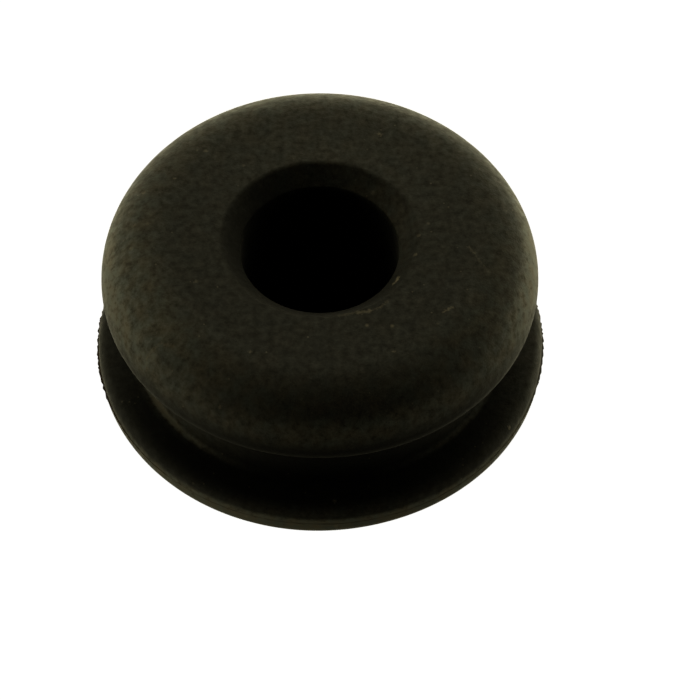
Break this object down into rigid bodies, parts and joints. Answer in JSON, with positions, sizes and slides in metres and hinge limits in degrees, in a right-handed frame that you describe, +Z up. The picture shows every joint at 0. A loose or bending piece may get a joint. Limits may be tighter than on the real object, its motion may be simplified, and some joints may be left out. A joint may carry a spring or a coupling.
{
  "type": "rubber bushing",
  "caption": "Round moulded rubber bushing with a through-bore and a groove between two flanges that grips the edge of a hole in a panel.",
  "frame": {"origin": "centre of the base, where the wider flange stands, on the axis of the bore", "axes": "+Z up along the bore, from the wider flange to the thicker one; the part is round about Z, so X and Y are free"},
  "size_m": [0.025, 0.025, 0.0109],
  "materials": {
    "black_rubber": "moulded, satin"
  },
  "bodies": {
    "root": {"bushing": "black_rubber"}
  },
  "joints": []
}
